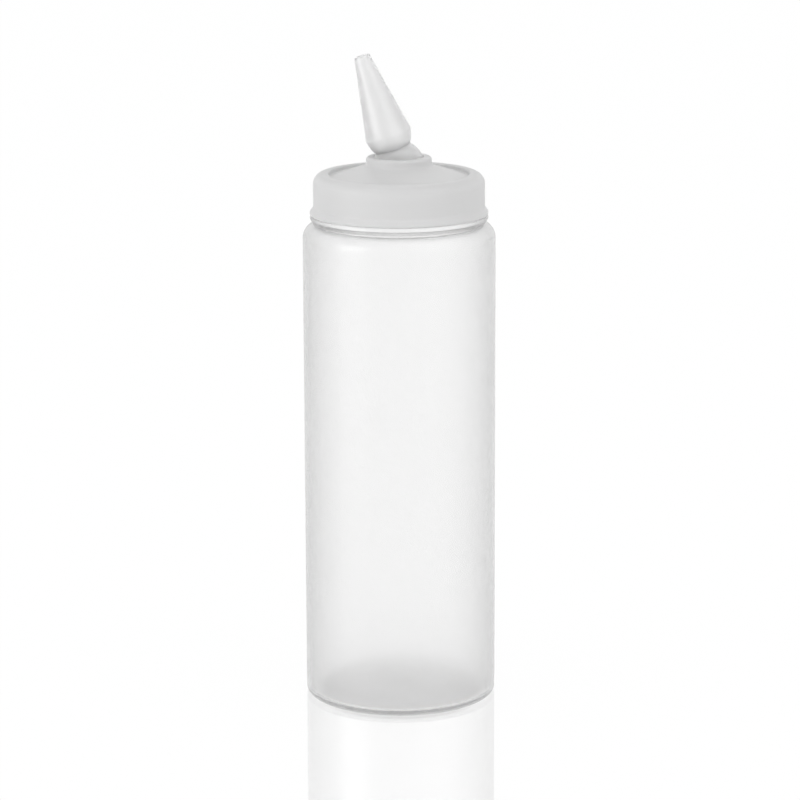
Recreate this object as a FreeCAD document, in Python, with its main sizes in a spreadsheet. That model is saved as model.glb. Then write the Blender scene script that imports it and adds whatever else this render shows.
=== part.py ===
"""Squeeze bottle with a screw lid and a swivelling nozzle.

Frame: millimetres, +Z up, the origin on the bottle's axis at the plane it stands on.
The bottle is a thin blown shell with a hollow bead under its screw neck.  The lid seats on
the neck's rim, with a plug inside the neck and a thread around it.  The nozzle ends in a
hollow ball that turns in the socket in the lid's collar.
"""

import FreeCAD
import Part
import Sketcher
import math
import os

DRIVING_SIZES = {
    # bottle
    "body_diameter": 70.0,
    "body_wall": 1.2,
    "base_wall": 1.8,
    "base_corner": 2.0,
    "base_land": 2.5,
    "push_up": 2.5,
    "heel_radius": 3.0,
    "shoulder_height": 171.1,
    "shoulder_radius": 6.0,
    "shoulder_step": 3.4,
    "bead_reach": 0.8,
    "bead_slope": 2.0,
    "bead_height": 1.5,
    "neck_setback": 3.0,
    "neck_wall": 1.6,
    "neck_height": 13.0,
    "neck_chamfer": 0.4,
    # thread shared by the neck and the lid
    "thread_depth": 1.0,
    "thread_gap": 0.3,
    "thread_pitch": 3.6,
    "thread_turns": 2.0,
    "thread_root": 1.5,
    "thread_crest": 0.7,
    "thread_start": 3.4,
    "thread_bury": 0.4,
    # lid
    "lid_gap": 0.25,
    "lid_wall": 1.3,
    "lid_roof": 2.1,
    "lid_edge": 4.0,
    "lid_corner": 1.5,
    "lip_height": 1.0,
    "lip_slope": 1.7,
    "plug_gap": 0.3,
    "plug_wall": 1.2,
    "plug_reach": 2.6,
    "recess_draft": 0.4,
    "recess_depth": 2.2,
    "plate_rise": 5.0,
    "plate_wall": 1.4,
    "collar_wall": 2.35,
    "collar_reach": 3.6,
    "collar_edge": 1.2,
    "socket_wall": 1.3,
    "socket_depth": 4.0,
    "socket_gap": 0.15,
    # nozzle, along its own axis from the ball's centre
    "pivot_rise": 2.4,
    "nozzle_tilt": 18.3,
    "nozzle_wall": 1.2,
    "ball_radius": 9.4,
    "ball_cut": 5.0,
    "foot_radius": 6.5,
    "bulb_radius": 8.45,
    "bulb_height": 12.2,
    "bulb_curve": 11.0,
    "tip_radius": 2.8,
    "tip_edge": 0.4,
    "nozzle_length": 42.1,
}

# Levels and radii that follow from the driving sizes, as expressions on the sheet.
BODY_RADIUS = "(Sizes.body_diameter / 2)"
BODY_INSIDE = f"({BODY_RADIUS} - Sizes.body_wall)"
CREASE_RADIUS = f"({BODY_RADIUS} - Sizes.shoulder_step)"
CREASE_RISE = "sqrt(Sizes.shoulder_radius^2 - (Sizes.shoulder_radius - Sizes.shoulder_step)^2)"
CREASE_HEIGHT = f"(Sizes.shoulder_height + {CREASE_RISE})"
BEAD_RADIUS = f"({CREASE_RADIUS} + Sizes.bead_reach)"
BEAD_BASE = f"({CREASE_HEIGHT} + Sizes.bead_slope)"
BEAD_TOP = f"({BEAD_BASE} + Sizes.bead_height)"
NECK_RADIUS = f"({CREASE_RADIUS} - Sizes.neck_setback)"
NECK_INSIDE = f"({NECK_RADIUS} - Sizes.neck_wall)"
NECK_TOP = f"({BEAD_TOP} + Sizes.neck_height)"
LID_BASE = f"({BEAD_TOP} + Sizes.lid_gap)"
LID_TOP = f"({NECK_TOP} + Sizes.lid_roof)"
LID_INSIDE = f"({NECK_RADIUS} + Sizes.thread_depth + Sizes.thread_gap)"
SKIRT_RADIUS = f"({LID_INSIDE} + Sizes.lid_wall)"
PLUG_RADIUS = f"({NECK_INSIDE} - Sizes.plug_gap)"
PLUG_INSIDE = f"({PLUG_RADIUS} - Sizes.plug_wall)"
RECESS_RADIUS = f"({PLUG_INSIDE} - Sizes.recess_draft)"
RECESS_FLOOR = f"({LID_TOP} - Sizes.recess_depth)"
PIVOT_HEIGHT = f"({LID_TOP} + Sizes.pivot_rise)"
SOCKET_RADIUS = "(Sizes.ball_radius + Sizes.socket_gap)"
SOCKET_OUTSIDE = f"({SOCKET_RADIUS} + Sizes.socket_wall)"
COLLAR_RADIUS = f"({SOCKET_RADIUS} + Sizes.collar_wall)"
COLLAR_TOP = f"({PIVOT_HEIGHT} + Sizes.collar_reach)"
THREAD_HEIGHT = f"({BEAD_TOP} + Sizes.thread_start)"


def other_side(hypotenuse, side):
    """Expression for the third side of a right triangle, such as a circle's half-chord."""
    return f"sqrt(({hypotenuse})^2 - ({side})^2)"


def cap_radius(half_width, rise):
    """Expression for the radius of a shallow dome of this half-width and rise."""
    return f"((({half_width})^2 + ({rise})^2) / (2 * ({rise})))"


def plate_level(radius):
    """Expression for the height of the lid's sloping plate at a radius."""
    slope = f"Sizes.plate_rise / ({RECESS_RADIUS} - {COLLAR_RADIUS})"
    return f"({RECESS_FLOOR} + ({RECESS_RADIUS} - ({radius})) * {slope})"


def make_sheet(document):
    """Put every driving size in a sheet named Sizes, one row for each."""
    sheet = document.addObject("Spreadsheet::Sheet", "Sizes")
    for row, (alias, number) in enumerate(DRIVING_SIZES.items(), start=1):
        sheet.set(f"A{row}", alias)
        sheet.set(f"B{row}", str(number))
        sheet.setAlias(f"B{row}", alias)
    document.recompute()
    return sheet


def origin_plane(body, role):
    """Find one of the body's own origin planes by its role."""
    return next(item for item in body.Origin.OriginFeatures if item.Role == role)


def bent_edge(start, end, radius):
    """Arc from start to end: it bulges right of the way walked, or left if radius is negative."""
    chord = end - start
    sagitta = abs(radius) - math.sqrt(radius ** 2 - (chord.Length / 2) ** 2)
    outward = FreeCAD.Vector(chord.y, -chord.x, 0).normalize()
    crown = (start + end) / 2 + outward * math.copysign(sagitta, radius)
    return Part.Arc(start, crown, end)


def draw_outline(body, name, corners):
    """Sketch a closed outline on the body's XZ plane, each number bound to the sheet.

    A corner is (radius, height, bend): expressions for its place, and for the radius of the arc
    that leaves it, which is None for a straight line.  A bend that starts with a minus sign
    bulges to the left of the way walked.
    """
    sketch = body.newObject("Sketcher::SketchObject", name)
    sketch.AttachmentSupport = [(origin_plane(body, "XZ_Plane"), "")]
    sketch.MapMode = "FlatFace"
    places = [
        FreeCAD.Vector(float(sketch.evalExpression(radius)), float(sketch.evalExpression(height)), 0)
        for radius, height, bend in corners
    ]
    for index, (radius, height, bend) in enumerate(corners):
        start = places[index]
        end = places[(index + 1) % len(corners)]
        if bend is None:
            edge = Part.LineSegment(start, end)
        else:
            edge = bent_edge(start, end, float(sketch.evalExpression(bend)))
        sketch.addGeometry(edge, False)
    bind_outline(sketch, corners, places)
    return sketch


def edge_ends(sketch, edge, start):
    """Point numbers of an edge's start and end, given where it starts: an arc may run backwards."""
    if (sketch.getPoint(edge, 1) - start).Length < (sketch.getPoint(edge, 2) - start).Length:
        return 1, 2
    return 2, 1


def bind_outline(sketch, corners, places):
    """Join the edges end to end and bind each corner and each arc's radius to the sheet."""
    root = (-1, 1)
    vertical_axis = -2
    ends = [edge_ends(sketch, edge, place) for edge, place in enumerate(places)]
    for edge, (radius, height, bend) in enumerate(corners):
        before = edge - 1 if edge else len(corners) - 1
        first = ends[edge][0]
        sketch.addConstraint(Sketcher.Constraint("Coincident", before, ends[before][1], edge, first))
        if radius == "0":
            sketch.addConstraint(Sketcher.Constraint("PointOnObject", edge, first, vertical_axis))
        else:
            bind(sketch, ("DistanceX", *root, edge, first, places[edge].x), radius)
        if height == "0":
            sketch.addConstraint(Sketcher.Constraint("PointOnObject", edge, first, -1))
        else:
            bind(sketch, ("DistanceY", *root, edge, first, places[edge].y), height)
        if bend is not None:
            reach = bend.lstrip("-")
            bind(sketch, ("Radius", edge, float(sketch.evalExpression(reach))), reach)


def bind(sketch, constraint, expression):
    """Add a dimension to a sketch and bind it to an expression on the sheet."""
    index = sketch.addConstraint(Sketcher.Constraint(*constraint))
    sketch.setExpression(f"Constraints[{index}]", expression)


def make_body(document, label):
    """Start a body whose label names its file."""
    body = document.addObject("PartDesign::Body", "Body_" + label)
    body.Label = label
    return body


def revolve(body, name, corners):
    """Turn a closed outline once around the body's own Z axis."""
    sketch = draw_outline(body, name + "Outline", corners)
    turned = body.newObject("PartDesign::Revolution", name)
    turned.Profile = sketch
    turned.ReferenceAxis = (sketch, ["V_Axis"])
    turned.Angle = 360
    body.Tip = turned
    return turned


def thread_outline(root_radius, crest_radius, middle):
    """Corners of a thread ridge's section, buried in the wall on its root side."""
    return [
        (root_radius, f"{middle} - Sizes.thread_root / 2", None),
        (crest_radius, f"{middle} - Sizes.thread_crest / 2", None),
        (crest_radius, f"{middle} + Sizes.thread_crest / 2", None),
        (root_radius, f"{middle} + Sizes.thread_root / 2", None),
    ]


def wind_thread(body, name, corners):
    """Carry a ridge's section up a right-hand helix and join it to the body."""
    sketch = draw_outline(body, name + "Section", corners)
    ridge = body.newObject("PartDesign::AdditiveHelix", name)
    ridge.Profile = sketch
    ridge.ReferenceAxis = (sketch, ["V_Axis"])
    ridge.Mode = "pitch-turns-angle"
    ridge.setExpression("Pitch", "Sizes.thread_pitch")
    ridge.setExpression("Turns", "Sizes.thread_turns")
    body.Tip = ridge
    return ridge


def make_bottle(document):
    """Blown shell: domed base, straight wall, rounded shoulder, hollow bead and screw neck."""
    body = make_body(document, "bottle")
    land_inside = f"({BODY_RADIUS} - Sizes.base_corner - Sizes.base_land)"
    floor_edge = f"({BODY_INSIDE} - Sizes.heel_radius)"
    inner_shoulder = "(Sizes.shoulder_radius - Sizes.body_wall)"
    inner_crease = f"({CREASE_RADIUS} - Sizes.body_wall)"
    shoulder_centre = f"({BODY_RADIUS} - Sizes.shoulder_radius)"
    inner_rise = other_side(inner_shoulder, f"{inner_crease} - {shoulder_centre}")
    corners = [
        ("0", "Sizes.push_up", "-" + cap_radius(land_inside, "Sizes.push_up")),
        (land_inside, "0", None),
        (f"{BODY_RADIUS} - Sizes.base_corner", "0", "Sizes.base_corner"),
        (BODY_RADIUS, "Sizes.base_corner", None),
        (BODY_RADIUS, "Sizes.shoulder_height", "Sizes.shoulder_radius"),
        (CREASE_RADIUS, CREASE_HEIGHT, None),
        (BEAD_RADIUS, BEAD_BASE, None),
        (BEAD_RADIUS, BEAD_TOP, None),
        (NECK_RADIUS, BEAD_TOP, None),
        (NECK_RADIUS, f"{NECK_TOP} - Sizes.neck_chamfer", None),
        (f"{NECK_RADIUS} - Sizes.neck_chamfer", NECK_TOP, None),
        (NECK_INSIDE, NECK_TOP, None),
        (NECK_INSIDE, f"{BEAD_TOP} - Sizes.body_wall", None),
        (f"{BEAD_RADIUS} - Sizes.body_wall", f"{BEAD_TOP} - Sizes.body_wall", None),
        (inner_crease, f"Sizes.shoulder_height + {inner_rise}", "-" + inner_shoulder),
        (BODY_INSIDE, "Sizes.shoulder_height", None),
        (BODY_INSIDE, "Sizes.base_wall + Sizes.heel_radius", "-Sizes.heel_radius"),
        (floor_edge, "Sizes.base_wall", cap_radius(floor_edge, "Sizes.push_up")),
        ("0", "Sizes.push_up + Sizes.base_wall", None),
    ]
    revolve(body, "BottleShell", corners)
    ridge = thread_outline(
        f"{NECK_RADIUS} - Sizes.thread_bury",
        f"{NECK_RADIUS} + Sizes.thread_depth",
        THREAD_HEIGHT,
    )
    wind_thread(body, "NeckThread", ridge)
    return body


def make_lid(document):
    """Screw lid: flared lip, skirt, rounded edge, recessed sloping plate, collar and socket."""
    body = make_body(document, "lid")
    lip_top = f"{LID_BASE} + Sizes.lip_height"
    plate_under = f"{plate_level(SOCKET_OUTSIDE)} - Sizes.plate_wall"
    plate_edge_under = f"{plate_level(RECESS_RADIUS)} - Sizes.plate_wall"
    socket_base = f"{PIVOT_HEIGHT} - Sizes.socket_depth"
    corners = [
        (LID_INSIDE, LID_BASE, None),
        (BEAD_RADIUS, LID_BASE, None),
        (BEAD_RADIUS, lip_top, None),
        (SKIRT_RADIUS, f"{lip_top} + Sizes.lip_slope", None),
        (SKIRT_RADIUS, f"{LID_TOP} - Sizes.lid_edge", "Sizes.lid_edge"),
        (f"{SKIRT_RADIUS} - Sizes.lid_edge", LID_TOP, None),
        (PLUG_INSIDE, LID_TOP, None),
        (RECESS_RADIUS, RECESS_FLOOR, None),
        (COLLAR_RADIUS, plate_level(COLLAR_RADIUS), None),
        (COLLAR_RADIUS, f"{COLLAR_TOP} - Sizes.collar_edge", "Sizes.collar_edge"),
        (f"{COLLAR_RADIUS} - Sizes.collar_edge", COLLAR_TOP, None),
        (other_side(SOCKET_RADIUS, "Sizes.collar_reach"), COLLAR_TOP, "-" + SOCKET_RADIUS),
        (other_side(SOCKET_RADIUS, "Sizes.socket_depth"), socket_base, None),
        (SOCKET_OUTSIDE, socket_base, None),
        (SOCKET_OUTSIDE, plate_under, None),
        (RECESS_RADIUS, plate_edge_under, None),
        (RECESS_RADIUS, f"{RECESS_FLOOR} - Sizes.plug_reach", None),
        (PLUG_RADIUS, f"{RECESS_FLOOR} - Sizes.plug_reach", None),
        (PLUG_RADIUS, NECK_TOP, None),
        (f"{LID_INSIDE} - Sizes.lid_corner", NECK_TOP, "-Sizes.lid_corner"),
        (LID_INSIDE, f"{NECK_TOP} - Sizes.lid_corner", None),
    ]
    revolve(body, "LidShell", corners)
    ridge = thread_outline(
        f"{LID_INSIDE} + Sizes.thread_bury",
        f"{LID_INSIDE} - Sizes.thread_depth",
        f"({THREAD_HEIGHT} - Sizes.thread_pitch / 2)",
    )
    wind_thread(body, "LidThread", ridge)
    return body


def make_nozzle(document):
    """Hollow nozzle: open ball, narrow foot, rounded bulb and a straight taper to the tip."""
    body = make_body(document, "nozzle")
    ball_inside = "(Sizes.ball_radius - Sizes.nozzle_wall)"
    foot_inside = "(Sizes.foot_radius - Sizes.nozzle_wall)"
    tip_level = "Sizes.ball_cut + Sizes.nozzle_length"
    corners = [
        (other_side("Sizes.ball_radius", "Sizes.ball_cut"), "0", "Sizes.ball_radius"),
        (
            "Sizes.foot_radius",
            f"Sizes.ball_cut + {other_side('Sizes.ball_radius', 'Sizes.foot_radius')}",
            "Sizes.bulb_curve",
        ),
        ("Sizes.bulb_radius", "Sizes.ball_cut + Sizes.bulb_height", None),
        ("Sizes.tip_radius", f"{tip_level} - Sizes.tip_edge", "Sizes.tip_edge"),
        ("Sizes.tip_radius - Sizes.tip_edge", tip_level, None),
        ("Sizes.tip_radius - Sizes.nozzle_wall", tip_level, None),
        (
            "Sizes.bulb_radius - Sizes.nozzle_wall",
            "Sizes.ball_cut + Sizes.bulb_height",
            "-(Sizes.bulb_curve - Sizes.nozzle_wall)",
        ),
        (foot_inside, f"Sizes.ball_cut + {other_side(ball_inside, foot_inside)}", "-" + ball_inside),
        (other_side(ball_inside, "Sizes.ball_cut"), "0", None),
    ]
    revolve(body, "NozzleShell", corners)
    lean = "rotation(vector(0; 1; 0); -Sizes.nozzle_tilt)"
    body.setExpression(
        "Placement",
        f"placement(vector(0; 0; {PIVOT_HEIGHT}); {lean})"
        " * placement(vector(0; 0; -Sizes.ball_cut); rotation(vector(0; 1; 0); 0))",
    )
    return body


def check(document, bodies):
    """Stop before anything is written if an object failed or a sub-part's shape isn't sound."""
    for item in document.Objects:
        if "Invalid" in item.State or "Error" in item.State:
            raise RuntimeError(f"{item.Label} did not recompute: {item.State}")
    for body in bodies:
        shape = body.Shape
        if shape.isNull() or not shape.isValid() or len(shape.Solids) != 1:
            raise RuntimeError(f"{body.Label} is not one sound solid")


def main():
    """Build the document and write each sub-part's shape to its own file."""
    document = FreeCAD.newDocument("SqueezeBottle")
    make_sheet(document)
    bodies = [make_bottle(document), make_lid(document), make_nozzle(document)]
    document.recompute()
    check(document, bodies)
    os.makedirs("parts", exist_ok=True)
    for body in bodies:
        body.Shape.exportStep(f"parts/{body.Label}.step")
        box = body.Shape.BoundBox
        print(f"{body.Label}: volume {body.Shape.Volume:.1f}, Z {box.ZMin:.2f} to {box.ZMax:.2f}")


main()
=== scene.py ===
"""Looks of a translucent squeeze bottle, built around its fixed frame.

Every length inside the classes is in millimetres, as a mould maker's drawing has it, and one
constant turns it into metres when a mesh is made.  Each piece is one closed surface: a profile
in the plane of the axis is carried once round it, and threads and mould lines are heights
added along the profile's own normal.
"""

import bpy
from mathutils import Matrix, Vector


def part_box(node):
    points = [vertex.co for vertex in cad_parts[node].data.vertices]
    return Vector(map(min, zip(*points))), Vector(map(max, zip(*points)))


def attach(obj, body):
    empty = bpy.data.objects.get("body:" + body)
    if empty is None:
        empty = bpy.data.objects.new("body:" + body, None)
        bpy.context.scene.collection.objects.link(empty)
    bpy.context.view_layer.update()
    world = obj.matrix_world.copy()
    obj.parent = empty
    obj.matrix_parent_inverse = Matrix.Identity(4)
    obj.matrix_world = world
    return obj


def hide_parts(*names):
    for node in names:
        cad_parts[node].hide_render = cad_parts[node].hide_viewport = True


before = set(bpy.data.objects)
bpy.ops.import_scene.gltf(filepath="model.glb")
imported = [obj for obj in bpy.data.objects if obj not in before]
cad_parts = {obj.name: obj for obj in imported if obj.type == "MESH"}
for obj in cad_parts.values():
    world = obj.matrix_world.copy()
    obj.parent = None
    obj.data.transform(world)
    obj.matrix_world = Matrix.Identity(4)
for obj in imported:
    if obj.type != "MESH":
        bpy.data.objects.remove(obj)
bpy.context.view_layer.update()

import logging
import math
from dataclasses import dataclass, field
from enum import Enum

import bpy
import numpy as np
from mathutils import Matrix, Vector

logging.basicConfig(level=logging.INFO, format="%(name)s: %(message)s")
log = logging.getLogger("squeeze_bottle")

MM = 0.001
FULL_TURN = 2.0 * math.pi
ROUND_STEP = math.radians(11.0)
LEAST_TURN = math.radians(2.0)
LEAST_POINTS = 3
LARGEST_SETBACK = 0.45
CLOSE_ANGLES = 13
ANGLE_DIGITS = 6

# Largest spacings in millimetres of a profile's points, by what the points have to show.
PLAIN_SPACING = 4.0
DOME_SPACING = 3.0
PLATE_SPACING = 2.0
ARC_SPACING = 0.8
SHOULDER_SPACING = 0.7
EDGE_SPACING = 0.6
BEAD_SPACING = 0.3
THREAD_SPACING = 0.25


class Rides(Enum):
    """The frame's body that a piece moves with."""

    CONTAINER = "container"
    NOZZLE = "nozzle"


class Zone(Enum):
    """Where an edge of a profile lies, which says what is added along its normal."""

    PLAIN = "plain"
    BASE = "base"
    WALL = "wall"
    NECK = "neck"
    UNDER_SKIRT = "under_skirt"


# ---------------------------------------------------------------- profiles and surfaces


@dataclass(frozen=True)
class Corner:
    """One corner of a profile.

    Args:
        radius: Distance from the axis.
        height: Height along the axis.
        blend: Radius of the round that softens the corner, or 0 for a sharp one.
        spacing: Largest spacing of the points on the edge that leaves this corner.
        zone: Where the edge that leaves this corner lies.
    """

    radius: float
    height: float
    blend: float = 0.0
    spacing: float = PLAIN_SPACING
    zone: Zone = Zone.PLAIN


def bent(start: Corner, end: Corner, radius: float, spacing: float) -> list[Corner]:
    """Corners along an arc between two corners, both included.

    The arc's middle stands off the chord by radius - sqrt(radius^2 - half_chord^2).  It bulges to
    the right of the way walked, or to the left where the radius is negative.

    Args:
        start: Where the arc starts.
        end: Where it ends.
        radius: The arc's radius, with its side as its sign.
        spacing: Largest spacing of the corners.

    Returns:
        The corners in order.
    """
    first = np.array([start.radius, start.height])
    last = np.array([end.radius, end.height])
    chord = last - first
    half = float(np.hypot(*chord)) / 2
    right = np.array([chord[1], -chord[0]]) / (2 * half)
    middle = (first + last) / 2 - right * math.copysign(math.sqrt(radius**2 - half**2), radius)
    sweep = 2 * math.asin(half / abs(radius))
    count = max(LEAST_POINTS, math.ceil(sweep * abs(radius) / spacing) + 1)
    share = np.linspace(0.0, 1.0, count)[:, None]
    spots = middle + swing(first - middle, last - middle, sweep, share)
    inner = [Corner(float(r), float(h), zone=start.zone) for r, h in spots[1:-1]]
    return [start, *inner, end]


def slice_radius(sphere: float, level: float) -> float:
    """Radius of a sphere's slice at a level from its middle: sqrt(sphere^2 - level^2)."""
    return math.sqrt(sphere**2 - level**2)


def swing(first: np.ndarray, last: np.ndarray, sweep: float, share: np.ndarray) -> np.ndarray:
    """Arms between two equal arms: (first * sin((1 - s) * a) + last * sin(s * a)) / sin(a)."""
    return (first * np.sin((1 - share) * sweep) + last * np.sin(share * sweep)) / math.sin(sweep)


@dataclass
class Profile:
    """Points of a profile with the zone of the edge that each lies on."""

    radius: np.ndarray
    height: np.ndarray
    zone: np.ndarray
    closed: bool

    def normals(self) -> tuple[np.ndarray, np.ndarray]:
        """Outward normals: the chord between a point's neighbours, turned a quarter to the right.

        Returns:
            The normals' radial and axial parts.
        """
        if self.closed:
            out = np.roll(self.radius, -1) - np.roll(self.radius, 1)
            rise = np.roll(self.height, -1) - np.roll(self.height, 1)
        else:
            out = np.gradient(self.radius)
            rise = np.gradient(self.height)
        size = np.hypot(out, rise)
        return rise / size, -out / size


def rounded(spots: np.ndarray, index: int, blend: float) -> np.ndarray:
    """Points of the round at one corner of a polyline.

    A round of radius q on a turn of angle t starts q * tan(t / 2) before its corner, and no more
    than LARGEST_SETBACK of the shorter edge beside it.

    Args:
        spots: The polyline's corners, one row each.
        index: Which corner.
        blend: The round's radius.

    Returns:
        The round's points, or the corner alone where there is hardly a turn.
    """
    spot = spots[index]
    back = spots[index - 1] - spot
    ahead = spots[(index + 1) % len(spots)] - spot
    reach_back, reach_ahead = np.hypot(*back), np.hypot(*ahead)
    back, ahead = back / reach_back, ahead / reach_ahead
    turn = math.pi - math.acos(float(np.clip(back @ ahead, -1.0, 1.0)))
    if blend == 0.0 or turn < LEAST_TURN:
        return spot[None, :]
    setback = min(blend * math.tan(turn / 2), LARGEST_SETBACK * min(reach_back, reach_ahead))
    radius = setback / math.tan(turn / 2)
    inward = (back + ahead) / np.hypot(*(back + ahead))
    middle = spot + inward * math.hypot(setback, radius)
    share = np.linspace(0.0, 1.0, max(LEAST_POINTS, int(turn / ROUND_STEP) + 2))[:, None]
    first = spot + back * setback - middle
    last = spot + ahead * setback - middle
    return middle + swing(first, last, turn, share)


def soften(corners: list[Corner], closed: bool) -> Profile:
    """Round a profile's corners and divide the straight edges between the rounds.

    Args:
        corners: The profile's corners in order.
        closed: Whether the last corner is joined to the first.

    Returns:
        The dense profile.
    """
    spots = np.array([(c.radius, c.height) for c in corners])
    ends = () if closed else (0, len(corners) - 1)
    rounds = [
        spots[index][None, :] if index in ends else rounded(spots, index, corner.blend)
        for index, corner in enumerate(corners)
    ]
    points: list[np.ndarray] = []
    zones: list[Zone] = []
    for index, corner in enumerate(corners):
        points.append(rounds[index])
        zones += [corner.zone] * len(rounds[index])
        if not closed and index == len(corners) - 1:
            break
        start, end = rounds[index][-1], rounds[(index + 1) % len(corners)][0]
        pieces = max(1, math.ceil(float(np.hypot(*(end - start))) / corner.spacing))
        share = np.linspace(0.0, 1.0, pieces + 1)[1:-1, None]
        points.append(start + (end - start) * share)
        zones += [corner.zone] * (pieces - 1)
    table = np.vstack(points)
    return Profile(table[:, 0], table[:, 1], np.array(zones), closed)


def turn_surface(
    name: str, profile: Profile, angles: np.ndarray, lift: np.ndarray
) -> bpy.types.Object:
    """Carry a profile round the axis: (r + lift * nr) * (cos a, sin a), h + lift * nh.

    An open profile starts and ends on the axis, where a fan of triangles closes each end.

    Args:
        name: Name of the new piece.
        profile: The profile, walked so that its outside is on the right.
        angles: Angles round the axis, rising, within one full turn.
        lift: Height added along the normal, one row a profile point and one column an angle.

    Returns:
        The new object, in metres, at the origin.
    """
    out, up = profile.normals()
    radius = profile.radius[:, None] + lift * out[:, None]
    height = profile.height[:, None] + lift * up[:, None]
    grid = np.stack([radius * np.cos(angles), radius * np.sin(angles), height], axis=-1) * MM
    if not profile.closed:
        poles = grid[[0, -1], 0]
        grid = grid[1:-1]
    rows, columns = grid.shape[:2]
    low = np.arange(rows if profile.closed else rows - 1)[:, None] * columns
    high = (low + columns) % (rows * columns)
    here = np.arange(columns)[None, :]
    beside = np.roll(here, -1, axis=1)
    faces = np.stack([low + here, low + beside, high + beside, high + here], axis=-1)
    faces = faces.reshape(-1, 4).tolist()
    points = grid.reshape(-1, 3)
    if not profile.closed:
        first, last = len(points), len(points) + 1
        top = (rows - 1) * columns
        pairs = list(zip(here[0].tolist(), beside[0].tolist()))
        faces += [(first, after, one) for one, after in pairs]
        faces += [(top + one, top + after, last) for one, after in pairs]
        points = np.vstack([points, poles])
    mesh = bpy.data.meshes.new(name)
    mesh.from_pydata(points.tolist(), [], faces)
    mesh.shade_smooth()
    piece = bpy.data.objects.new(name, mesh)
    bpy.context.scene.collection.objects.link(piece)
    return piece


def smooth_step(share: np.ndarray) -> np.ndarray:
    """Ease from 0 to 1: 3 s^2 - 2 s^3, with s held between 0 and 1."""
    share = np.clip(share, 0.0, 1.0)
    return share * share * (3 - 2 * share)


@dataclass(frozen=True)
class Thread:
    """A screw thread's ridge, wound right-handed and faded out at both ends.

    Args:
        start: Height at which the ridge's middle starts.
        pitch: Climb in one turn.
        turns: How many turns.
        depth: Height of the ridge.
        root: Width of the ridge at its foot.
        crest: Width of its flat crest.
        fade: Share of a turn over which it fades out at each end.
    """

    start: float
    pitch: float = 3.6
    turns: float = 2.0
    depth: float = 1.0
    root: float = 1.5
    crest: float = 0.7
    fade: float = 0.04

    def lift(self, height: np.ndarray, angles: np.ndarray) -> np.ndarray:
        """Ridge height at each profile height and angle.

        A turn's middle lies at start + pitch * (angle / full turn + turn number), and the flanks
        ease down between half the crest and half the root away from it.

        Args:
            height: Heights along the axis.
            angles: Angles round the axis.

        Returns:
            One row a height, one column an angle.
        """
        turned = (angles % FULL_TURN)[None, :] / FULL_TURN
        climbed = (height[:, None] - self.start) / self.pitch - turned
        nearest = np.clip(np.round(climbed), 0, math.ceil(self.turns) - 1)
        away = np.abs(climbed - nearest) * self.pitch
        flank = smooth_step((self.root / 2 - away) / ((self.root - self.crest) / 2))
        along = nearest + turned
        ends = smooth_step(along / self.fade) * smooth_step((self.turns - along) / self.fade)
        return self.depth * flank * ends


# ---------------------------------------------------------------- finishes


def linear(code: str) -> tuple[float, float, float, float]:
    """Turn an sRGB hex code into linear red, green, blue and an alpha of 1.

    A share s of full strength becomes s / 12.92 up to 0.04045, and above it
    ((s + 0.055) / 1.055)^2.4.

    Args:
        code: The colour, as in "#F0F0F0".

    Returns:
        The linear colour.
    """
    shares = [int(code[place : place + 2], 16) / 255 for place in (1, 3, 5)]
    plain = [s / 12.92 if s <= 0.04045 else ((s + 0.055) / 1.055) ** 2.4 for s in shares]
    return (plain[0], plain[1], plain[2], 1.0)


def add_node(tree: bpy.types.NodeTree, kind: str, settings: dict, links: dict) -> bpy.types.Node:
    """Add a node with its settings and links.

    Args:
        tree: The material's or world's node tree.
        kind: The node's type name.
        settings: Property names, or names or numbers of inputs, with their values.
        links: Names or numbers of inputs, each with the output that feeds it.

    Returns:
        The new node.
    """
    node = tree.nodes.new(kind)
    for key, value in settings.items():
        if isinstance(key, str) and hasattr(node, key):
            setattr(node, key, value)
        else:
            live_socket(node.inputs, key).default_value = value
    for key, source in links.items():
        tree.links.new(source, live_socket(node.inputs, key))
    return node


def live_socket(sockets: bpy.types.bpy_prop_collection, key: str | int) -> bpy.types.NodeSocket:
    """Find a socket by number, or by name among those that the node's settings leave in use.

    Args:
        sockets: The node's inputs or outputs.
        key: The socket's number or name.

    Returns:
        The socket.
    """
    if isinstance(key, int):
        return sockets[key]
    return next(socket for socket in sockets if socket.name == key and socket.enabled)


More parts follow.
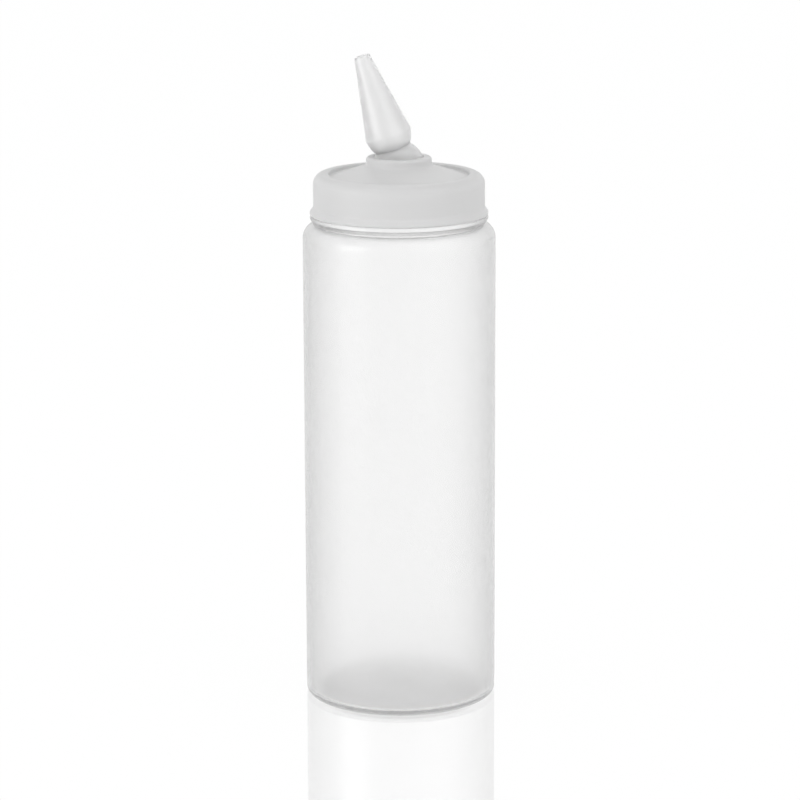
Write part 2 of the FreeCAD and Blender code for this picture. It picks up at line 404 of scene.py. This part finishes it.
@dataclass(frozen=True)
class NaturalPolyethylene:
    """Unpigmented low-density polyethylene: milky, waxy and see-through at one wall.

    Light goes through each wall and comes out blurred, so one wall looks clear, two look frosted
    and the thick base and the doubled neck look grey.

    Args:
        name: Name of the finish.
        colour: Colour of the light that the plastic scatters and passes.
        clarity: Share of light that goes on through the wall.
        haze: Roughness of the moulded skin, which blurs both its shine and what shows through.
        cloud: Share by which the thicker spots of the wall darken it.
        cloud_size: Size in millimetres of those spots.
        wave_size: Size in millimetres of the long waves that cooling leaves.
        wave_depth: Height in millimetres of those waves.
        grain_size: Size in millimetres of the mould's orange peel.
        grain_depth: Height in millimetres of that orange peel.
        gloss: Share of a clear skin, as where the mould was polished.
        gloss_blur: Roughness of that clear skin.
        gloss_bend: Refractive index of that clear skin.
        refraction: Refractive index of the plastic.
        cloud_detail: Octaves of finer noise in the cloud.
        wave_detail: Octaves of finer noise in the waves.
        grain_detail: Octaves of finer noise in the orange peel.
    """

    name: str
    colour: str
    clarity: float
    haze: float
    cloud: float
    cloud_size: float
    wave_size: float
    wave_depth: float
    grain_size: float
    grain_depth: float
    gloss: float = 0.0
    gloss_blur: float = 0.2
    gloss_bend: float = 1.5
    refraction: float = 1.51
    cloud_detail: float = 3.0
    wave_detail: float = 1.0
    grain_detail: float = 2.0

    def build(self) -> bpy.types.Material:
        """Make the material: cloudy colour, two scales of soft relief, light that goes through.

        Returns:
            The new material.
        """
        material = bpy.data.materials.new(self.name)
        material.use_nodes = True
        tree = material.node_tree
        tree.nodes.clear()
        place = add_node(tree, "ShaderNodeTexCoord", {}, {}).outputs["Object"]
        cloud, wave, grain = (
            add_node(
                tree,
                "ShaderNodeTexNoise",
                {"Scale": 1.0 / (size * MM), "Detail": detail},
                {"Vector": place},
            )
            for size, detail in (
                (self.cloud_size, self.cloud_detail),
                (self.wave_size, self.wave_detail),
                (self.grain_size, self.grain_detail),
            )
        )
        full = linear(self.colour)
        thick = tuple(share * (1.0 - self.cloud) for share in full[:3]) + (1.0,)
        tint = add_node(
            tree,
            "ShaderNodeMix",
            {"data_type": "RGBA", "A": thick, "B": full},
            {"Factor": cloud.outputs["Fac"]},
        )
        waves = add_node(
            tree,
            "ShaderNodeBump",
            {"Distance": self.wave_depth * MM},
            {"Height": wave.outputs["Fac"]},
        )
        peel = add_node(
            tree,
            "ShaderNodeBump",
            {"Distance": self.grain_depth * MM},
            {"Height": grain.outputs["Fac"], "Normal": waves.outputs["Normal"]},
        )
        skin = add_node(
            tree,
            "ShaderNodeBsdfPrincipled",
            {
                "Roughness": self.haze,
                "IOR": self.refraction,
                "Transmission Weight": self.clarity,
                "Coat Weight": self.gloss,
                "Coat Roughness": self.gloss_blur,
                "Coat IOR": self.gloss_bend,
            },
            {"Base Color": live_socket(tint.outputs, "Result"), "Normal": peel.outputs["Normal"]},
        )
        add_node(tree, "ShaderNodeOutputMaterial", {}, {"Surface": skin.outputs["BSDF"]})
        return material


# Blown film-soft wall: the clearest, with a satin outside from the mould's blasted face.
BLOWN_WALL = NaturalPolyethylene(
    name="blown_natural_polyethylene",
    colour="#FFFFFF",
    clarity=1.0,
    haze=0.25,
    cloud=0.01,
    cloud_size=16.0,
    wave_size=45.0,
    wave_depth=0.15,
    grain_size=1.2,
    grain_depth=0.0015,
)
# Thicker moulded lid: the greyest, and so cloudy that the thread inside it hardly shows.
MOULDED_LID = NaturalPolyethylene(
    name="moulded_lid_polyethylene",
    colour="#E3E3E3",
    clarity=0.3,
    haze=0.42,
    cloud=0.01,
    cloud_size=9.0,
    wave_size=18.0,
    wave_depth=0.08,
    grain_size=0.9,
    grain_depth=0.004,
)
# Moulded nozzle: nearly as clear as the wall, with a polished skin that carries a bright streak.
MOULDED_NOZZLE = NaturalPolyethylene(
    name="moulded_nozzle_polyethylene",
    colour="#FFFFFF",
    clarity=0.88,
    haze=0.33,
    cloud=0.01,
    cloud_size=7.0,
    wave_size=12.0,
    wave_depth=0.05,
    grain_size=0.9,
    grain_depth=0.004,
    gloss=1.0,
    gloss_blur=0.32,
    gloss_bend=1.7,
)


# ---------------------------------------------------------------- the pieces


@dataclass(frozen=True)
class Seam:
    """The mould's parting line: a fine ridge up both sides of a blown piece.

    Args:
        angle: Angle round the axis of the plane in which the mould parts.
        height: Height of the ridge.
        half_width: Distance from the plane at which the ridge is down to 1 / e.
        start: Height above the ground at which it starts, and over which it then fades in.
        close_span: Half the span of angle that needs close points.
    """

    angle: float = 0.0
    height: float = 0.08
    half_width: float = 0.35
    start: float = 3.0
    close_span: float = math.radians(1.6)

    def lift(self, profile: Profile, angles: np.ndarray) -> np.ndarray:
        """Ridge height: height * exp(-(distance from its plane / half width)^2), faded in low down.

        Args:
            profile: The piece's profile.
            angles: Angles round the axis.

        Returns:
            One row a profile point, one column an angle.
        """
        away = profile.radius[:, None] * np.sin(angles - self.angle)[None, :]
        fade = smooth_step((profile.height[:, None] - self.start) / self.start)
        return self.height * np.exp(-((away / self.half_width) ** 2)) * fade


def round_angles(count: int, extra: tuple[float, ...] = (), near: float = 0.0) -> np.ndarray:
    """Evenly spaced angles, with a few close ones near each extra angle and opposite it.

    Args:
        count: How many even angles.
        extra: Angles that need close ones.
        near: Half the span of the close ones.

    Returns:
        Rising angles within one full turn.
    """
    even = np.arange(count) / count * FULL_TURN
    share = np.linspace(-1, 1, CLOSE_ANGLES)
    close = [angle + half + near * share for angle in extra for half in (0.0, math.pi)]
    angles = np.concatenate([even, *close]) % FULL_TURN
    return np.unique(np.round(angles, ANGLE_DIGITS))


@dataclass
class BlownBottle:
    """The bottle: one blown shell with its base, wall, shoulder, hollow bead and screw neck."""

    radius: float
    neck_top: float
    wall: float = 1.2
    base_wall: float = 1.8
    base_corner: float = 2.0
    base_land: float = 2.5
    push_up: float = 2.5
    heel: float = 3.0
    shoulder_radius: float = 6.0
    shoulder_step: float = 3.8
    bead_reach: float = 1.2
    bead_slope: float = 1.8
    bead_height: float = 1.3
    bead_round: float = 1.0
    bead_wall: float = 0.6
    neck_setback: float = 2.6
    neck_wall: float = 1.6
    neck_height: float = 13.0
    thread_start: float = 3.4
    weld_height: float = 0.3
    weld_half_width: float = 0.5
    weld_reach: float = 26.0
    weld_fade: float = 6.0
    land_round: float = 0.5
    crease_round: float = 0.9
    bead_foot_round: float = 0.6
    neck_foot_round: float = 0.3
    rim_round: float = 0.4
    rim_inner_round: float = 0.3
    ledge_round: float = 0.4
    hollow_round: float = 0.6
    inner_crease_round: float = 0.4
    divisions: int = 192
    seam: Seam = field(default_factory=Seam)

    def __post_init__(self) -> None:
        """Work out the levels that the lid shares."""
        self.bead_top = self.neck_top - self.neck_height
        self.crease_radius = self.radius - self.shoulder_step
        self.bead_radius = self.crease_radius + self.bead_reach
        self.neck_radius = self.crease_radius - self.neck_setback
        self.neck_inside = self.neck_radius - self.neck_wall
        self.thread = Thread(self.bead_top + self.thread_start)

    def dome(self, reach: float) -> float:
        """Radius of the base's dome over a half-width: (reach^2 + rise^2) / (2 * rise)."""
        return (reach**2 + self.push_up**2) / (2 * self.push_up)

    def profile(self) -> Profile:
        """Walk the shell's section from the base's middle up the outside and back down inside.

        Returns:
            The section's profile, open at the axis.
        """
        land = self.radius - self.base_corner - self.base_land
        inside = self.radius - self.wall
        floor_edge = inside - self.heel
        crease = self.bead_top - self.bead_height - self.bead_slope
        arm = self.shoulder_radius
        shoulder = crease - math.sqrt(arm**2 - (arm - self.shoulder_step) ** 2)
        inner_arm = arm - self.wall
        inner_crease = self.crease_radius - self.wall
        inner_rise = math.sqrt(inner_arm**2 - (inner_crease - (self.radius - arm)) ** 2)
        under_bead = self.bead_top - self.bead_wall
        outside = [
            *bent(
                Corner(0, self.push_up, zone=Zone.BASE),
                Corner(land, 0, self.land_round),
                -self.dome(land),
                DOME_SPACING,
            ),
            Corner(self.radius, 0, self.base_corner, zone=Zone.WALL),
            *bent(
                Corner(self.radius, shoulder, zone=Zone.WALL),
                Corner(self.crease_radius, crease, self.crease_round),
                arm,
                SHOULDER_SPACING,
            ),
            Corner(self.bead_radius, self.bead_top - self.bead_height, self.bead_foot_round),
            *bent(
                Corner(self.bead_radius, self.bead_top - self.bead_round),
                Corner(self.bead_radius - self.bead_round, self.bead_top),
                self.bead_round,
                BEAD_SPACING,
            ),
            Corner(
                self.neck_radius, self.bead_top, self.neck_foot_round, THREAD_SPACING, Zone.NECK
            ),
            Corner(self.neck_radius, self.neck_top, self.rim_round),
        ]
        within = [
            Corner(self.neck_inside, self.neck_top, self.rim_inner_round),
            Corner(self.neck_inside, under_bead, self.ledge_round),
            Corner(self.bead_radius - self.wall, under_bead, self.hollow_round),
            *bent(
                Corner(inner_crease, shoulder + inner_rise, self.inner_crease_round),
                Corner(inside, shoulder),
                -inner_arm,
                ARC_SPACING,
            ),
            Corner(inside, self.base_wall, self.heel),
            *bent(
                Corner(floor_edge, self.base_wall),
                Corner(0, self.push_up + self.base_wall),
                self.dome(floor_edge),
                DOME_SPACING,
            ),
        ]
        return soften(outside + within, closed=False)

    def pinch_off(self, radius: np.ndarray, angles: np.ndarray) -> np.ndarray:
        """The weld across the base's outside: a low ridge that fades out before the foot ring.

        Its height is weld height * exp(-(distance from the seam's plane / half width)^2).

        Args:
            radius: Distances from the axis.
            angles: Angles round the axis.

        Returns:
            One row a distance, one column an angle.
        """
        away = radius[:, None] * np.sin(angles - self.seam.angle)[None, :]
        fade = smooth_step((self.weld_reach - radius[:, None]) / self.weld_fade)
        return self.weld_height * np.exp(-((away / self.weld_half_width) ** 2)) * fade

    def build(self) -> bpy.types.Object:
        """Make the shell, dress it and put it on the frame.

        Returns:
            The bottle's piece.
        """
        profile = self.profile()
        angles = round_angles(self.divisions, (self.seam.angle,), self.seam.close_span)
        lift = np.zeros((len(profile.radius), len(angles)))
        zone = profile.zone[:, None]
        lift = np.where(zone == Zone.NECK, self.thread.lift(profile.height, angles), lift)
        lift = np.where(zone == Zone.WALL, self.seam.lift(profile, angles), lift)
        lift = np.where(zone == Zone.BASE, self.pinch_off(profile.radius, angles), lift)
        piece = turn_surface("bottle_shell", profile, angles, lift)
        return dress(piece, BLOWN_WALL, "bottle", Rides.CONTAINER)


@dataclass
class ScrewLid:
    """The lid: flared lip, skirt, rounded edge, recessed sloping plate, collar and socket."""

    bottle: BlownBottle
    gap: float = 0.05
    wall: float = 1.3
    roof: float = 2.1
    edge: float = 4.0
    inner_corner: float = 1.5
    lip_height: float = 1.0
    lip_slope: float = 1.7
    thread_gap: float = 0.3
    plug_gap: float = 0.3
    plug_wall: float = 1.2
    plug_reach: float = 2.6
    recess_draft: float = 0.4
    recess_depth: float = 1.6
    plate_rise: float = 4.4
    plate_wall: float = 1.4
    collar_wall: float = 2.35
    collar_reach: float = 3.6
    collar_edge: float = 1.2
    socket_radius: float = 9.55
    socket_wall: float = 1.3
    socket_depth: float = 4.0
    pivot_rise: float = 2.4
    foot_round: float = 0.25
    lip_foot_round: float = 0.45
    lip_round: float = 0.7
    flare_round: float = 1.0
    recess_edge: float = 0.9
    recess_round: float = 1.6
    collar_foot: float = 1.5
    mouth_round: float = 0.4
    throat_round: float = 0.2
    socket_round: float = 0.3
    socket_root: float = 0.4
    plug_root: float = 0.8
    plug_inner_round: float = 0.25
    plug_outer_round: float = 0.3
    seal_round: float = 0.3
    divisions: int = 192

    def __post_init__(self) -> None:
        """Work out the top and the pivot's height."""
        self.top = self.bottle.neck_top + self.roof
        self.pivot = self.top + self.pivot_rise

    def profile(self) -> Profile:
        """Walk the lid's section from the skirt's foot up the outside, down the socket and back.

        Returns:
            The section's closed profile.
        """
        low = self.bottle.bead_top + self.gap
        inside = self.bottle.neck_radius + self.bottle.thread.depth + self.thread_gap
        skirt = inside + self.wall
        lip = self.bottle.bead_radius
        plug = self.bottle.neck_inside - self.plug_gap
        rim = plug - self.plug_wall
        recess = rim - self.recess_draft
        floor = self.top - self.recess_depth
        collar = self.socket_radius + self.collar_wall
        collar_top = self.pivot + self.collar_reach
        slope = self.plate_rise / (recess - collar)
        mouth = slice_radius(self.socket_radius, self.collar_reach)
        throat = slice_radius(self.socket_radius, self.socket_depth)
        socket_out = self.socket_radius + self.socket_wall
        socket_low = self.pivot - self.socket_depth
        socket_high = floor + (recess - socket_out) * slope - self.plate_wall
        corners = [
            Corner(inside, low, self.foot_round),
            Corner(lip, low, self.lip_foot_round),
            Corner(lip, low + self.lip_height, self.lip_round),
            Corner(skirt, low + self.lip_height + self.lip_slope, self.flare_round),
            *bent(
                Corner(skirt, self.top - self.edge),
                Corner(skirt - self.edge, self.top),
                self.edge,
                EDGE_SPACING,
            ),
            Corner(rim, self.top, self.recess_edge),
            Corner(recess, floor, self.recess_round, PLATE_SPACING),
            Corner(collar, floor + self.plate_rise, self.collar_foot),
            Corner(collar, collar_top, self.collar_edge),
            *bent(
                Corner(mouth, collar_top, self.mouth_round),
                Corner(throat, socket_low, self.throat_round),
                -self.socket_radius,
                ARC_SPACING,
            ),
            Corner(socket_out, socket_low, self.socket_round),
            Corner(socket_out, socket_high, self.socket_root, PLATE_SPACING),
            Corner(recess, floor - self.plate_wall, self.plug_root),
            Corner(recess, floor - self.plug_reach, self.plug_inner_round),
            Corner(plug, floor - self.plug_reach, self.plug_outer_round),
            Corner(plug, self.bottle.neck_top, self.seal_round),
            Corner(
                inside,
                self.bottle.neck_top,
                self.inner_corner,
                THREAD_SPACING,
                Zone.UNDER_SKIRT,
            ),
        ]
        return soften(corners, closed=True)

    def build(self) -> bpy.types.Object:
        """Make the lid, dress it and put it on the frame.

        Its thread lies half a pitch below the neck's, in the groove between two of its turns.

        Returns:
            The lid's piece.
        """
        profile = self.profile()
        angles = round_angles(self.divisions)
        ridge = Thread(self.bottle.thread.start - self.bottle.thread.pitch / 2)
        zone = profile.zone[:, None]
        lift = np.where(zone == Zone.UNDER_SKIRT, ridge.lift(profile.height, angles), 0.0)
        piece = turn_surface("lid_shell", profile, angles, lift)
        return dress(piece, MOULDED_LID, "lid", Rides.CONTAINER)


@dataclass
class SwivelNozzle:
    """The nozzle: open ball, narrow foot, rounded bulb and a straight taper to the tip."""

    pivot: float
    tilt: float = math.radians(18.3)
    wall: float = 1.2
    ball: float = 9.4
    ball_cut: float = 5.0
    foot: float = 6.5
    bulb: float = 8.45
    bulb_height: float = 12.2
    bulb_curve: float = 11.0
    tip: float = 2.8
    tip_edge: float = 0.54
    length: float = 42.1
    cut_round: float = 0.2
    foot_round: float = 1.2
    bulb_round: float = 0.8
    divisions: int = 112

    def profile(self) -> Profile:
        """Walk the nozzle's section from the ball's rim up the outside and back down inside.

        Returns:
            The section's closed profile, about the ball's middle.
        """
        within = self.ball - self.wall
        foot_in = self.foot - self.wall
        inner_curve = self.bulb_curve - self.wall
        cut = Corner(slice_radius(self.ball, self.ball_cut), -self.ball_cut, self.cut_round)
        foot = Corner(self.foot, slice_radius(self.ball, self.foot), self.foot_round)
        bulb = Corner(self.bulb, self.bulb_height, self.bulb_round)
        inner_bulb = Corner(self.bulb - self.wall, self.bulb_height)
        inner_foot = Corner(foot_in, slice_radius(within, foot_in))
        inner_cut = Corner(slice_radius(within, self.ball_cut), -self.ball_cut, self.cut_round)
        corners = [
            *bent(cut, foot, self.ball, ARC_SPACING),
            *bent(foot, bulb, self.bulb_curve, ARC_SPACING)[1:],
            Corner(self.tip, self.length, self.tip_edge),
            Corner(self.tip - self.wall, self.length, self.tip_edge),
            *bent(inner_bulb, inner_foot, -inner_curve, ARC_SPACING),
            *bent(inner_foot, inner_cut, -within, ARC_SPACING)[1:],
        ]
        return soften(corners, closed=True)

    def build(self) -> bpy.types.Object:
        """Make the nozzle upright, lean it over, dress it and put it on the frame.

        Returns:
            The nozzle's piece.
        """
        profile = self.profile()
        angles = round_angles(self.divisions)
        plain = np.zeros((len(profile.radius), len(angles)))
        piece = turn_surface("nozzle_shell", profile, angles, plain)
        lean = Matrix.Rotation(-self.tilt, 4, "Y")
        piece.data.transform(Matrix.Translation((0, 0, self.pivot * MM)) @ lean)
        return dress(piece, MOULDED_NOZZLE, "nozzle", Rides.NOZZLE)


def dress(
    piece: bpy.types.Object, finish: NaturalPolyethylene, node: str, rides: Rides
) -> bpy.types.Object:
    """Give a finished piece its finish and its place in the frame.

    Args:
        piece: The new piece.
        finish: What it is made of.
        node: The frame's node that it stands for.
        rides: The body that it moves with.

    Returns:
        The same piece.
    """
    piece.data.materials.append(finish.build())
    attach(piece, rides.value)
    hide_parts(node)
    return piece


# ---------------------------------------------------------------- studio


@dataclass(frozen=True)
class Softbox:
    """One rectangular lamp that faces the bottle.

    Args:
        name: The lamp's name.
        place: Where it hangs, in metres.
        size: Its width and height in metres.
        power: Its power in watts.
    """

    name: str
    place: tuple[float, float, float]
    size: tuple[float, float]
    power: float

    def hang(self, aim: Vector) -> None:
        """Make the lamp and turn it to face the aim.

        Args:
            aim: The spot that it faces.
        """
        lamp = bpy.data.lights.new(self.name, "AREA")
        lamp.shape = "RECTANGLE"
        lamp.size, lamp.size_y = self.size
        lamp.energy = self.power
        holder = bpy.data.objects.new(self.name, lamp)
        holder.location = self.place
        holder.rotation_euler = (aim - Vector(self.place)).to_track_quat("-Z", "Y").to_euler()
        bpy.context.scene.collection.objects.link(holder)


@dataclass
class Studio:
    """White surroundings, a polished white sheet to stand on, two softboxes and the camera.

    Lengths are in metres, apart from the camera's lens and sensor, which are in millimetres.

    Args:
        floor_reach: Distance from the axis to the sheet's edges.
        sky_level: Strength of the sky as a light.
        sheet_colour: Colour of the sheet where it doesn't glow.
        sheet_glow: Share of the sheet's white that is glow, to the eye.
        sheet_through: The same share in reflections and through plastic.
        sheet_polish: Share of the sheet's look that is its mirror image.
        sheet_blur: Roughness of that mirror.
        walls_crossed: How many walls light is followed through.
        aim: The spot that the lamps face.
        softboxes: The lamps.
        eye: Where the camera stands.
        pitch: Angle by which it looks down.
        roll: Angle by which it leans clockwise.
        lens: Its focal length.
        sensor: Its sensor's width.
        nearest: Closest distance that it shows.
        farthest: Farthest distance that it shows.
    """

    floor_reach: float = 6.0
    sky_level: float = 0.95
    sheet_colour: str = "#F9F9F9"
    sheet_glow: float = 0.95
    sheet_through: float = 0.7
    sheet_polish: float = 0.45
    sheet_blur: float = 0.04
    walls_crossed: int = 32
    aim: tuple[float, float, float] = (0.0, 0.0, 0.12)
    softboxes: tuple[Softbox, ...] = (
        Softbox("left_softbox", (-1.1, -0.65, 0.4), (0.8, 0.7), 3.6),
        Softbox("right_softbox", (0.9, -0.9, 0.9), (1.5, 1.5), 3.8),
    )
    eye: tuple[float, float, float] = (0.0001, -1.183, 0.3803)
    pitch: float = math.radians(12.84)
    roll: float = math.radians(0.2)
    lens: float = 148.5
    sensor: float = 36.0
    nearest: float = 0.01
    farthest: float = 50.0

    def build(self) -> None:
        """Set up the view, the sky, the sheet, the lamps and the camera."""
        bpy.context.scene.view_settings.view_transform = "Standard"
        self.follow_light()
        self.light_sky()
        self.lay_sheet()
        for softbox in self.softboxes:
            softbox.hang(Vector(self.aim))
        self.place_camera()

    def looked_at(self, tree: bpy.types.NodeTree, kinds: tuple[str, ...]) -> bpy.types.NodeSocket:
        """Socket that is 1 for rays of these kinds and 0 for the rest.

        Args:
            tree: The tree that needs it.
            kinds: Names of Light Path outputs.

        Returns:
            The highest of those outputs.
        """
        path = add_node(tree, "ShaderNodeLightPath", {}, {})
        found = path.outputs[kinds[0]]
        for kind in kinds[1:]:
            either = {0: found, 1: path.outputs[kind]}
            higher = add_node(tree, "ShaderNodeMath", {"operation": "MAXIMUM"}, either)
            found = higher.outputs["Value"]
        return found

    def follow_light(self) -> None:
        """Follow light through every wall, since a ray near an edge crosses a dozen or more."""
        paths = bpy.context.scene.cycles
        paths.max_bounces = self.walls_crossed
        paths.transmission_bounces = self.walls_crossed
        paths.glossy_bounces = self.walls_crossed
        paths.diffuse_bounces = self.walls_crossed

    def light_sky(self) -> None:
        """White for the eye, for shine and through plastic; a little dimmer as a light."""
        world = bpy.data.worlds.new("white_sky")
        bpy.context.scene.world = world
        world.use_nodes = True
        tree = world.node_tree
        tree.nodes.clear()
        seen = self.looked_at(tree, ("Is Camera Ray", "Is Glossy Ray", "Is Transmission Ray"))
        level = add_node(tree, "ShaderNodeMapRange", {"To Min": self.sky_level}, {"Value": seen})
        white = {"Strength": level.outputs["Result"]}
        sky = add_node(tree, "ShaderNodeBackground", {"Color": linear("#FFFFFF")}, white)
        add_node(tree, "ShaderNodeOutputWorld", {}, {"Surface": sky.outputs["Background"]})

    def lay_sheet(self) -> None:
        """Lay the sheet, which mirrors the bottle softly and glows, so that its shadow is faint.

        It glows less in reflections and through plastic, which keeps the bottle's base grey, and
        not at all as a light.
        """
        reach = self.floor_reach
        mesh = bpy.data.meshes.new("white_sheet")
        corners = [(-reach, -reach, 0), (reach, -reach, 0), (reach, reach, 0), (-reach, reach, 0)]
        mesh.from_pydata(corners, [], [(0, 1, 2, 3)])
        sheet = bpy.data.objects.new("white_sheet", mesh)
        bpy.context.scene.collection.objects.link(sheet)
        material = bpy.data.materials.new("polished_white_acrylic")
        material.use_nodes = True
        tree = material.node_tree
        tree.nodes.clear()
        through = self.looked_at(tree, ("Is Glossy Ray", "Is Transmission Ray"))
        dimmed = add_node(
            tree,
            "ShaderNodeMath",
            {"operation": "MULTIPLY", 1: self.sheet_through},
            {0: through},
        )
        seen = self.looked_at(tree, ("Is Camera Ray",))
        glow = add_node(
            tree,
            "ShaderNodeMath",
            {"operation": "MULTIPLY_ADD", 1: self.sheet_glow},
            {0: seen, 2: dimmed.outputs["Value"]},
        )
        lit = add_node(tree, "ShaderNodeBsdfDiffuse", {"Color": linear(self.sheet_colour)}, {})
        white = add_node(
            tree, "ShaderNodeEmission", {"Color": linear("#FFFFFF"), "Strength": 1.0}, {}
        )
        base = add_node(
            tree,
            "ShaderNodeMixShader",
            {},
            {0: glow.outputs["Value"], 1: lit.outputs["BSDF"], 2: white.outputs["Emission"]},
        )
        polish = add_node(
            tree,
            "ShaderNodeBsdfGlossy",
            {"Color": linear("#FFFFFF"), "Roughness": self.sheet_blur},
            {},
        )
        surface = add_node(
            tree,
            "ShaderNodeMixShader",
            {0: self.sheet_polish},
            {1: base.outputs["Shader"], 2: polish.outputs["BSDF"]},
        )
        add_node(tree, "ShaderNodeOutputMaterial", {}, {"Surface": surface.outputs["Shader"]})
        mesh.materials.append(material)

    def place_camera(self) -> None:
        """Look down at the bottle from the front."""
        camera = bpy.data.cameras.new("camera")
        camera.lens = self.lens
        camera.sensor_width = self.sensor
        camera.clip_start = self.nearest
        camera.clip_end = self.farthest
        holder = bpy.data.objects.new("camera", camera)
        level = Matrix.Rotation(math.radians(90) - self.pitch, 4, "X")
        leaned = Matrix.Rotation(-self.roll, 4, "Z")
        holder.matrix_world = Matrix.Translation(self.eye) @ level @ leaned
        bpy.context.scene.collection.objects.link(holder)
        bpy.context.scene.camera = holder


def main() -> None:
    """Build the pieces in order, then the studio."""
    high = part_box("bottle")[1]
    bottle = BlownBottle(radius=high.x / MM, neck_top=high.z / MM)
    lid = ScrewLid(bottle)
    nozzle = SwivelNozzle(lid.pivot)
    for maker in (bottle, lid, nozzle):
        piece = maker.build()
        log.info("%s: %d faces", piece.name, len(piece.data.polygons))
    Studio().build()


if __name__ == "__main__":
    main()
